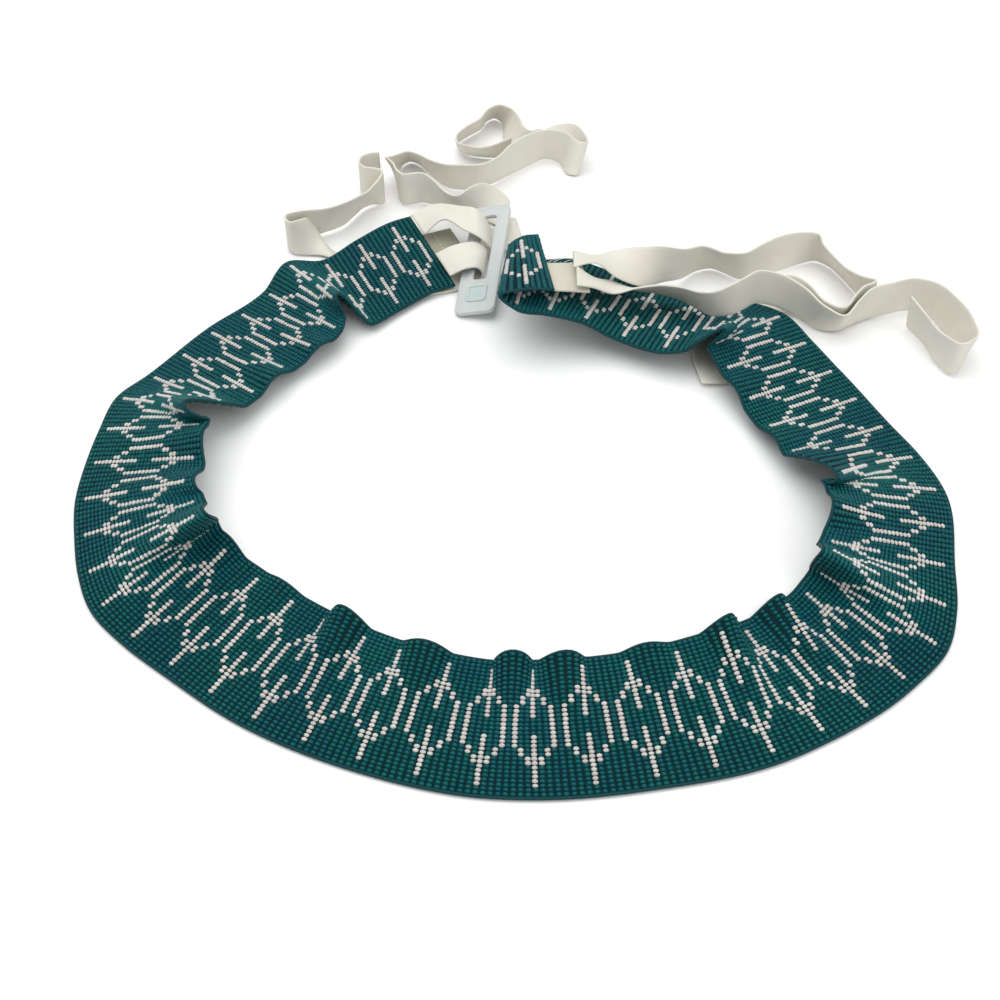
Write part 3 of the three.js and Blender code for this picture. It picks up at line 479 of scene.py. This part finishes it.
# white rows of each column of the motif, by distance from its middle column
WHITE_ROWS = {
    0: [*range(2, 14), *range(18, 30)],
    1: [7, 8, 23, 24],
    2: [9, 10, 21, 22],
    3: [*range(11, 21)],
    4: [],
}


def bead_shape():
    angles = np.arange(BEAD_SIDES) * 2 * math.pi / BEAD_SIDES
    verts = [(math.sin(a) * r, y, math.cos(a) * r) for y, r in BEAD_PROFILE for a in angles]
    shape = mesh_piece("bead_shape", verts, tube_faces(len(BEAD_PROFILE), BEAD_SIDES), beads_material)
    return shape


def bead_tree():
    """Stands a bead on every point; each bead keeps its point's turn, and its size varies a little."""
    tree = bpy.data.node_groups.new("bead_weaving", "GeometryNodeTree")
    sockets = tree.interface.new_socket
    sockets(name="Geometry", in_out="INPUT", socket_type="NodeSocketGeometry")
    sockets(name="Bead", in_out="INPUT", socket_type="NodeSocketObject")
    sockets(name="Bead Diameter", in_out="INPUT", socket_type="NodeSocketFloat")
    sockets(name="Bead Length", in_out="INPUT", socket_type="NodeSocketFloat")
    sockets(name="Size Spread", in_out="INPUT", socket_type="NodeSocketFloat")
    sockets(name="Seed", in_out="INPUT", socket_type="NodeSocketInt")
    sockets(name="Material", in_out="INPUT", socket_type="NodeSocketMaterial")
    sockets(name="Geometry", in_out="OUTPUT", socket_type="NodeSocketGeometry")
    nodes = tree.nodes
    link = tree.links.new
    given = nodes.new("NodeGroupInput")
    result = nodes.new("NodeGroupOutput")
    bead = nodes.new("GeometryNodeObjectInfo")
    turn = nodes.new("GeometryNodeInputNamedAttribute")
    turn.data_type = "FLOAT_VECTOR"
    turn.inputs["Name"].default_value = "turn"
    rotation = nodes.new("FunctionNodeEulerToRotation")
    size = nodes.new("ShaderNodeCombineXYZ")
    spread = nodes.new("FunctionNodeRandomValue")
    spread.data_type = "FLOAT"
    low = nodes.new("ShaderNodeMath")
    low.operation = "SUBTRACT"
    low.inputs[0].default_value = 1
    high = nodes.new("ShaderNodeMath")
    high.operation = "ADD"
    high.inputs[0].default_value = 1
    scaled = nodes.new("ShaderNodeVectorMath")
    scaled.operation = "SCALE"
    stand = nodes.new("GeometryNodeInstanceOnPoints")
    realize = nodes.new("GeometryNodeRealizeInstances")
    finish = nodes.new("GeometryNodeSetMaterial")
    link(given.outputs["Bead"], bead.inputs["Object"])
    link(given.outputs["Bead Diameter"], size.inputs["X"])
    link(given.outputs["Bead Length"], size.inputs["Y"])
    link(given.outputs["Bead Diameter"], size.inputs["Z"])
    link(given.outputs["Size Spread"], low.inputs[1])
    link(given.outputs["Size Spread"], high.inputs[1])
    link(low.outputs[0], spread.inputs[2])
    link(high.outputs[0], spread.inputs[3])
    link(given.outputs["Seed"], spread.inputs["Seed"])
    link(size.outputs[0], scaled.inputs[0])
    link(spread.outputs[1], scaled.inputs["Scale"])
    link(turn.outputs["Attribute"], rotation.inputs[0])
    link(given.outputs["Geometry"], stand.inputs["Points"])
    link(bead.outputs["Geometry"], stand.inputs["Instance"])
    link(rotation.outputs[0], stand.inputs["Rotation"])
    link(scaled.outputs[0], stand.inputs["Scale"])
    link(stand.outputs[0], realize.inputs[0])
    link(realize.outputs[0], finish.inputs["Geometry"])
    link(given.outputs["Material"], finish.inputs["Material"])
    link(finish.outputs[0], result.inputs[0])
    return tree


def set_inputs(modifier, values):
    for item in modifier.node_group.interface.items_tree:
        if item.item_type == "SOCKET" and item.in_out == "INPUT" and item.name in values:
            modifier[item.identifier] = values[item.name]


def grown(name, points, tree, values):
    """Runs a Geometry Nodes tree on a points piece and keeps the result as a plain mesh."""
    modifier = points.modifiers.new(tree.name, "NODES")
    modifier.node_group = tree
    set_inputs(modifier, values)
    bpy.context.view_layer.update()
    evaluated = points.evaluated_get(bpy.context.evaluated_depsgraph_get())
    mesh = bpy.data.meshes.new_from_object(evaluated)
    mesh.name = name
    mesh.shade_smooth()
    piece = bpy.data.objects.new(name, mesh)
    bpy.context.scene.collection.objects.link(piece)
    points.modifiers.clear()
    bpy.data.objects.remove(points)
    return piece


def eulers(along, across, normal):
    """Turns whose X, Y and Z axes are the three given directions."""
    return np.stack([
        np.arctan2(across[..., 2], normal[..., 2]),
        np.arcsin(np.clip(-along[..., 2], -1, 1)),
        np.arctan2(along[..., 1], along[..., 0]),
    ], -1)


def bead_points(name, columns):
    rows = np.arange(BEAD_ROWS)
    column, row = np.meshgrid(columns, rows, indexing="ij")
    motif = column / COLUMNS_PER_MOTIF
    share = (row + 0.5) / BEAD_ROWS
    spot = band_point(motif, share)
    normal = surface_normal(band_point, motif, share, 0.05, 0.01)
    across = unit(band_point(motif, share + 0.01) - band_point(motif, share - 0.01))
    along = unit(np.cross(across, normal))
    normal = np.cross(along, across)
    shape = (*column.shape, 1)
    spot = spot + along * random.normal(0, PLACE_SPREAD, shape)
    spot = spot + normal * random.normal(0, PLACE_SPREAD, shape)
    across = unit(across + along * random.normal(0, TURN_SPREAD, shape))
    along = unit(np.cross(across, normal))
    white = np.zeros(column.shape)
    for i, k in enumerate(columns):
        phase = int(k) % COLUMNS_PER_MOTIF
        white[i, WHITE_ROWS[min(phase, COLUMNS_PER_MOTIF - phase)]] = 1
    points = mesh_piece(name, placed(spot.reshape(-1, 3)), [], smooth=False)
    turn = points.data.attributes.new("turn", "FLOAT_VECTOR", "POINT")
    turn.data.foreach_set("vector", eulers(along, across, normal).reshape(-1, 3).ravel())
    fair = points.data.attributes.new("white", "FLOAT", "POINT")
    fair.data.foreach_set("value", white.ravel())
    tone = points.data.attributes.new("tone", "FLOAT", "POINT")
    drift = 0.5 + 0.5 * np.sin(column * 0.17 + 2 * np.sin(column * 0.043) + row * 0.06)
    tone.data.foreach_set("value", (drift * 0.32 + random.random(white.shape) * 0.68).ravel())
    return points


random = np.random.default_rng(5)
BEAD_PIECES = ["bead_rows_left", "bead_rows_left_front", "bead_rows_front", "bead_rows_right_front",
               "bead_rows_right"]
bead = bead_shape()
weaving = bead_tree()
first_column = round(MOTIF_START * COLUMNS_PER_MOTIF + 0.5)
last_column = round(MOTIF_END * COLUMNS_PER_MOTIF - 0.5)
column_runs = np.array_split(np.arange(first_column, last_column + 1), len(BEAD_PIECES))
bead_pieces = []
for seed, (name, columns) in enumerate(zip(BEAD_PIECES, column_runs)):
    piece = grown(name, bead_points(name + "_points", columns), weaving, {
        "Bead": bead,
        "Bead Diameter": BEAD_DIAMETER * MM,
        "Bead Length": BEAD_LENGTH * MM,
        "Size Spread": 0.04,
        "Seed": seed,
        "Material": beads_material,
    })
    bead_pieces.append(piece)
    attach(piece, "root")
    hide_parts("beaded_band")
bpy.data.objects.remove(bead)

# Thread ground between the beads
GROUND_THICKNESS = 0.7
ground_motifs = np.linspace(MOTIF_START, MOTIF_END, 402)
ground = cloth_strip("band_thread", band_point, ground_motifs, cloth_section(16, GROUND_THICKNESS, BAND_WIDTH),
                     thread_material, ground_motifs * MOTIF_LENGTH)
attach(ground, "root")
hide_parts("beaded_band")

# Cords that close the two long edges of the band
EDGE_CORD_THICKNESS = 1.1
EDGE_CORD_SIDES = 6
EDGE_CORDS = [("outer_edge_cord", -0.006), ("inner_edge_cord", 1.006)]
cord_material = material_of("edge_cord", (0.0, 0.04, 0.046), 0.6, 0.2)[0]
for name, share in EDGE_CORDS:
    motifs = np.linspace(MOTIF_START, MOTIF_END, 602)
    middle = band_point(motifs, share)
    if share > 1:
        middle = middle + unit(band_point(motifs, 1.0) - band_point(motifs, 0.98)) * 0.1
    middle[:, 2] = np.maximum(middle[:, 2], EDGE_CORD_THICKNESS / 2)
    ahead = unit(np.gradient(middle, axis=0))
    side = unit(np.cross(ahead, (0, 0, 1)))
    lift = np.cross(side, ahead)
    angles = np.arange(EDGE_CORD_SIDES) * 2 * math.pi / EDGE_CORD_SIDES
    around_cord = side[:, None] * np.cos(angles)[None, :, None]
    around_cord = around_cord + lift[:, None] * np.sin(angles)[None, :, None]
    cord_points = middle[:, None] + around_cord * EDGE_CORD_THICKNESS / 2
    cord = mesh_piece(name, placed(cord_points.reshape(-1, 3)), tube_faces(len(motifs), EDGE_CORD_SIDES),
                      cord_material)
    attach(cord, "root")
    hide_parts("beaded_band")

# Tape ties
TAPE_RING_STEP = 1.1
TAPE_LOOK_THICKNESS = 0.9
for name, node, rows in TIE_PIECES:
    rails = rails_of(rows, TAPE_WIDTH, TAPE_THICKNESS / 2)
    length = rails[0][-1]

    def tape_surface(s, v, rails=rails):
        point, across = frame_at(rails, np.clip(s, 0, rails[0][-1]))
        return point + across * (np.asarray(v) * TAPE_WIDTH)[..., None]

    stations = np.linspace(0, length, round(length / TAPE_RING_STEP))
    piece = cloth_strip(name, tape_surface, stations, cloth_section(8, TAPE_LOOK_THICKNESS, TAPE_WIDTH),
                        tape_material)
    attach(piece, "root")
    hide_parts(node)

# Facings
for name, node, end, inward, tuck_share, share_from, share_to in FACING_ROWS:
    tuck = tuck_share * FACING_LENGTH
    drop = (BAND_THICKNESS + FACING_THICKNESS) / 2 + SEAM_GAP

    def facing_surface(s, v):
        share = share_from + (share_to - share_from) * (1 - v if inward > 0 else v)
        inside = np.maximum(tuck - s, 0) / MOTIF_LENGTH
        spot = band_point(end + inward * inside, share)
        outward = unit(band_point(end, share) - band_point(end + inward * 0.1, share))
        spot = spot + outward * np.maximum(s - tuck, 0)[..., None]
        spot[..., 2] -= drop
        return spot

    width = (share_to - share_from) * BAND_WIDTH
    # The left facing takes the painted-shade copy of the cotton; the right facing takes the plain one
    piece = cloth_strip(name, facing_surface, np.linspace(0, FACING_LENGTH, 37),
                        cloth_section(24, FACING_THICKNESS, width),
                        painted_shade_facing_material if inward > 0 else facing_material)
    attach(piece, "root")
    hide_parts(node)

# Stitches of the two seams, and loose thread ends beside them
STITCH_LENGTH = 1.5
STITCH_THICKNESS = 0.32
STITCH_PITCH = 2.3
THREAD_THICKNESS = 0.22
THREAD_RINGS = 9
THREAD_SIDES = 6
thread_white = material_of("sewing_thread", (0.66, 0.64, 0.57), 0.8, 0.2)[0]


def thread_tube(name, path, thickness):
    """Round thread along a smooth path of a few points."""
    path = np.array(path, float)
    stations = np.arange(len(path))
    at = np.linspace(0, len(path) - 1, THREAD_RINGS)
    middle = np.stack([through(stations, path[:, k], at) for k in range(3)], -1)
    ahead = unit(np.gradient(middle, axis=0))
    side = unit(np.cross(ahead, (0.3, 0.2, 1)))
    lift = np.cross(side, ahead)
    angles = np.arange(THREAD_SIDES) * 2 * math.pi / THREAD_SIDES
    ring_points = (middle[:, None] + thickness / 2 * (side[:, None] * np.cos(angles)[None, :, None]
                                                      + lift[:, None] * np.sin(angles)[None, :, None]))
    return mesh_piece(name, placed(ring_points.reshape(-1, 3)), tube_faces(THREAD_RINGS, THREAD_SIDES),
                      thread_white)


def stitch_tree():
    """Stands one stitch on every point, turned by the point's own attribute."""
    tree = bpy.data.node_groups.new("seam_stitching", "GeometryNodeTree")
    sockets = tree.interface.new_socket
    sockets(name="Geometry", in_out="INPUT", socket_type="NodeSocketGeometry")
    sockets(name="Stitch", in_out="INPUT", socket_type="NodeSocketObject")
    sockets(name="Material", in_out="INPUT", socket_type="NodeSocketMaterial")
    sockets(name="Geometry", in_out="OUTPUT", socket_type="NodeSocketGeometry")
    given = tree.nodes.new("NodeGroupInput")
    result = tree.nodes.new("NodeGroupOutput")
    stitch = tree.nodes.new("GeometryNodeObjectInfo")
    turn = tree.nodes.new("GeometryNodeInputNamedAttribute")
    turn.data_type = "FLOAT_VECTOR"
    turn.inputs["Name"].default_value = "turn"
    rotation = tree.nodes.new("FunctionNodeEulerToRotation")
    stand = tree.nodes.new("GeometryNodeInstanceOnPoints")
    realize = tree.nodes.new("GeometryNodeRealizeInstances")
    finish = tree.nodes.new("GeometryNodeSetMaterial")
    link = tree.links.new
    link(given.outputs["Stitch"], stitch.inputs["Object"])
    link(turn.outputs["Attribute"], rotation.inputs[0])
    link(given.outputs["Geometry"], stand.inputs["Points"])
    link(stitch.outputs["Geometry"], stand.inputs["Instance"])
    link(rotation.outputs[0], stand.inputs["Rotation"])
    link(stand.outputs[0], realize.inputs[0])
    link(realize.outputs[0], finish.inputs["Geometry"])
    link(given.outputs["Material"], finish.inputs["Material"])
    link(finish.outputs[0], result.inputs[0])
    return tree


def stitch_shape():
    rings_at = [(-0.5, 0.2), (-0.3, 0.5), (0.3, 0.5), (0.5, 0.2)]
    angles = np.arange(THREAD_SIDES) * 2 * math.pi / THREAD_SIDES
    verts = [(math.sin(a) * r * STITCH_THICKNESS * MM, y * STITCH_LENGTH * MM,
              math.cos(a) * r * STITCH_THICKNESS * MM) for y, r in rings_at for a in angles]
    return mesh_piece("stitch_shape", verts, tube_faces(len(rings_at), THREAD_SIDES), thread_white)


# name, CAD node, motif number of the band end, way out of the band,
# share of the width from, to, millimetres off the edge
SEAM_ROWS = [
    ("left_seam_stitches", "facing_left", MOTIF_START, -1, 0.24, 0.64, 5),
    ("right_seam_stitches", "facing_right", MOTIF_END, 1, 0.48, 0.92, 6),
]
stitch = stitch_shape()
stitching = stitch_tree()
for name, node, end, outward_way, share_from, share_to, off in SEAM_ROWS:
    count = round((share_to - share_from) * BAND_WIDTH / STITCH_PITCH)
    share = np.linspace(share_from, share_to, count)
    edge = band_point(end, share)
    outward = unit(edge - band_point(end - outward_way * 0.1, share))
    across = unit(band_point(end, share + 0.01) - band_point(end, share - 0.01))
    normal = unit(np.cross(outward, across)) * (outward_way)
    normal = normal * np.sign(normal[:, 2:3])
    drop = (BAND_THICKNESS + FACING_THICKNESS) / 2 + SEAM_GAP
    spot = edge + outward * off + normal * (FACING_THICKNESS / 2 + 0.05)
    spot[:, 2] -= drop
    along = unit(np.cross(across, normal))
    points = mesh_piece(name + "_points", placed(spot), [], smooth=False)
    turn = points.data.attributes.new("turn", "FLOAT_VECTOR", "POINT")
    turn.data.foreach_set("vector", eulers(along, across, normal).ravel())
    piece = grown(name, points, stitching, {"Stitch": stitch, "Material": thread_white})
    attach(piece, "root")
    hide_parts(node)
bpy.data.objects.remove(stitch)

# Loose ends: name, CAD node, motif number of the band end, way out of the band, then points as
# millimetres outward, share of the band width, millimetres of rise
FRAY_ROWS = [
    ("left_loose_thread_1", "facing_left", MOTIF_START, -1,
     [(11, 0.66, 0), (14, 0.7, 0.8), (17, 0.69, 0.4), (19, 0.73, 0.5)]),
    ("left_loose_thread_2", "facing_left", MOTIF_START, -1,
     [(13, 0.64, 0), (17, 0.67, 1), (20, 0.65, 0.6)]),
    ("right_loose_thread_1", "facing_right", MOTIF_END, 1,
     [(3, 0.46, 0), (6, 0.42, 0.5), (9, 0.4, 0.2), (12, 0.41, 0.1)]),
    ("right_loose_thread_2", "facing_right", MOTIF_END, 1,
     [(7, 0.46, 0), (10, 0.43, 0.3), (14, 0.42, 0.2)]),
    ("right_loose_thread_3", "facing_right", MOTIF_END, 1,
     [(0.5, 0.47, 0), (3, 0.44, 0.6), (5, 0.41, 0.2)]),
]
for name, node, end, outward_way, course in FRAY_ROWS:
    drop = (BAND_THICKNESS + FACING_THICKNESS) / 2 + SEAM_GAP
    path = []
    for off, share, rise in course:
        edge = band_point(end, np.array(share))
        outward = unit(edge - band_point(end - outward_way * 0.1, np.array(share)))
        path.append(edge + outward * off + np.array([0, 0, rise + FACING_THICKNESS / 2 - drop]))
    piece = thread_tube(name, path, THREAD_THICKNESS)
    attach(piece, "root")
    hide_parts(node)

# Hanger: rounded edges, window, and a raised rectangle near the foot
HANGER_EDGE = 0.5
HANGER_BADGE_WIDTH = 8
HANGER_BADGE_LENGTH = 9
HANGER_BADGE_START = 5.5
HANGER_BADGE_RISE = 0.45
HANGER_BADGE_RIM = 1.1
CORNER_STEPS = 8


def rounded_outline(width, start, length, radius):
    """Corners of a rounded rectangle, the same count for every one, anticlockwise."""
    side = width / 2 - radius
    centres = [
        (side, start + radius, -90),
        (side, start + length - radius, 0),
        (-side, start + length - radius, 90),
        (-side, start + radius, 180),
    ]
    points = []
    for x, y, first in centres:
        for angle in np.radians(np.linspace(first, first + 90, CORNER_STEPS)):
            points.append((x + radius * math.cos(angle), y + radius * math.sin(angle)))
    return np.array(points)


def ring(width, start, length, radius, grow, z):
    outline = rounded_outline(width + 2 * grow, start - grow, length + 2 * grow, radius + grow)
    return np.column_stack([outline, np.full(len(outline), z)])


def place_of(x, y, lift):
    return np.array([x * LOOP_WIDTH, y * LOOP_DEPTH, lift * TAPE_WIDTH])


half = HANGER_THICKNESS / 2
window_length = HANGER_LENGTH - HANGER_WINDOW_START - HANGER_HEAD_BAR
outer = (HANGER_WIDTH, 0, HANGER_LENGTH, HANGER_CORNER)
window = (HANGER_WINDOW_WIDTH, HANGER_WINDOW_START, window_length, HANGER_WINDOW_CORNER)
soft = HANGER_EDGE * 0.3
rings = [
    ring(*outer, 0, -half + HANGER_EDGE), ring(*outer, 0, half - HANGER_EDGE),
    ring(*outer, -soft, half - soft), ring(*outer, -HANGER_EDGE, half),
    ring(*window, HANGER_EDGE, half), ring(*window, soft, half - soft),
    ring(*window, 0, half - HANGER_EDGE), ring(*window, 0, -half + HANGER_EDGE),
    ring(*window, soft, -half + soft), ring(*window, HANGER_EDGE, -half),
    ring(*outer, -HANGER_EDGE, -half), ring(*outer, -soft, -half + soft),
]
around = CORNER_STEPS * 4
hanger_faces = []
for i in range(len(rings)):
    for j in range(around):
        k = (j + 1) % around
        n = (i + 1) % len(rings)
        hanger_faces.append((i * around + j, i * around + k, n * around + k, n * around + j))
badge = (HANGER_BADGE_WIDTH, HANGER_BADGE_START, HANGER_BADGE_LENGTH, HANGER_WINDOW_CORNER)
badge_rings = [ring(*badge, 0, 0), ring(*badge, 0, half + HANGER_BADGE_RISE - soft),
               ring(*badge, -soft, half + HANGER_BADGE_RISE),
               ring(*badge, soft - HANGER_BADGE_RIM, half + HANGER_BADGE_RISE),
               ring(*badge, -HANGER_BADGE_RIM, half + soft)]
hanger_points = np.concatenate(rings + badge_rings)
first = len(rings) * around
for i in range(len(badge_rings) - 1):
    for j in range(around):
        k = (j + 1) % around
        hanger_faces.append((first + i * around + j, first + i * around + k,
                             first + (i + 1) * around + k, first + (i + 1) * around + j))
hanger_faces.append(tuple(first + k for k in reversed(range(around))))
hanger_faces.append(tuple(first + (len(badge_rings) - 1) * around + k for k in range(around)))
hanger_foot = place_of(*HANGER_FOOT)
hanger_long = unit(place_of(*HANGER_HEAD) - hanger_foot)
level = unit(np.cross(hanger_long, (0, 0, 1)))
roll = math.radians(-HANGER_ROLL)
hanger_across = level * math.cos(roll) + np.cross(hanger_long, level) * math.sin(roll)
hanger_up = np.cross(hanger_across, hanger_long)
turned = hanger_points @ np.array([hanger_across, hanger_long, hanger_up]) + hanger_foot
hanger = mesh_piece("hanger_plate", placed(turned), hanger_faces, plastic_material, smooth=False)
for polygon in hanger.data.polygons:
    polygon.use_smooth = True
hanger.data.set_sharp_from_angle(angle=math.radians(40))
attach(hanger, "root")
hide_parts("plastic_hanger")

# Floor
floor_size = 6
floor = mesh_piece("floor", [(-floor_size, -floor_size, 0), (floor_size, -floor_size, 0),
                             (floor_size, floor_size, 0), (-floor_size, floor_size, 0)], [(0, 1, 2, 3)])
floor_material = material_of("pale_floor", (0.9, 0.9, 0.9), 0.8)[0]
floor.data.materials.append(floor_material)

# Camera, at the photograph's angle
CAMERA_PLACE = (-3, -213, 330)
CAMERA_FOCAL = 50.4
CAMERA_PITCH = 45
camera_data = bpy.data.cameras.new("camera")
camera_data.lens = CAMERA_FOCAL
camera_data.sensor_width = 36
camera_data.clip_start = 0.01
camera = bpy.data.objects.new("camera", camera_data)
camera.location = placed(CAMERA_PLACE)
camera.rotation_euler = (math.radians(CAMERA_PITCH), 0, 0)
bpy.context.scene.collection.objects.link(camera)
bpy.context.scene.camera = camera


# Lights
def area_light(name, place, aim, size, power, colour=(1, 1, 1)):
    data = bpy.data.lights.new(name, "AREA")
    data.size = size
    data.energy = power
    data.color = colour
    light = bpy.data.objects.new(name, data)
    light.location = place
    light.rotation_euler = (Vector(aim) - Vector(place)).to_track_quat("-Z", "Y").to_euler()
    bpy.context.scene.collection.objects.link(light)
    return light


area_light("key_light", (-0.25, 0.15, 1.3), (0, 0, 0), 1.6, 16)
area_light("fill_light", (0.7, -0.9, 1.0), (0, 0, 0), 1.2, 7)
world = bpy.data.worlds.new("studio")
world.use_nodes = True
world.node_tree.nodes["Background"].inputs["Color"].default_value = (1, 1, 1, 1)
world.node_tree.nodes["Background"].inputs["Strength"].default_value = 0.55
bpy.context.scene.world = world
bpy.context.scene.view_settings.view_transform = "Standard"
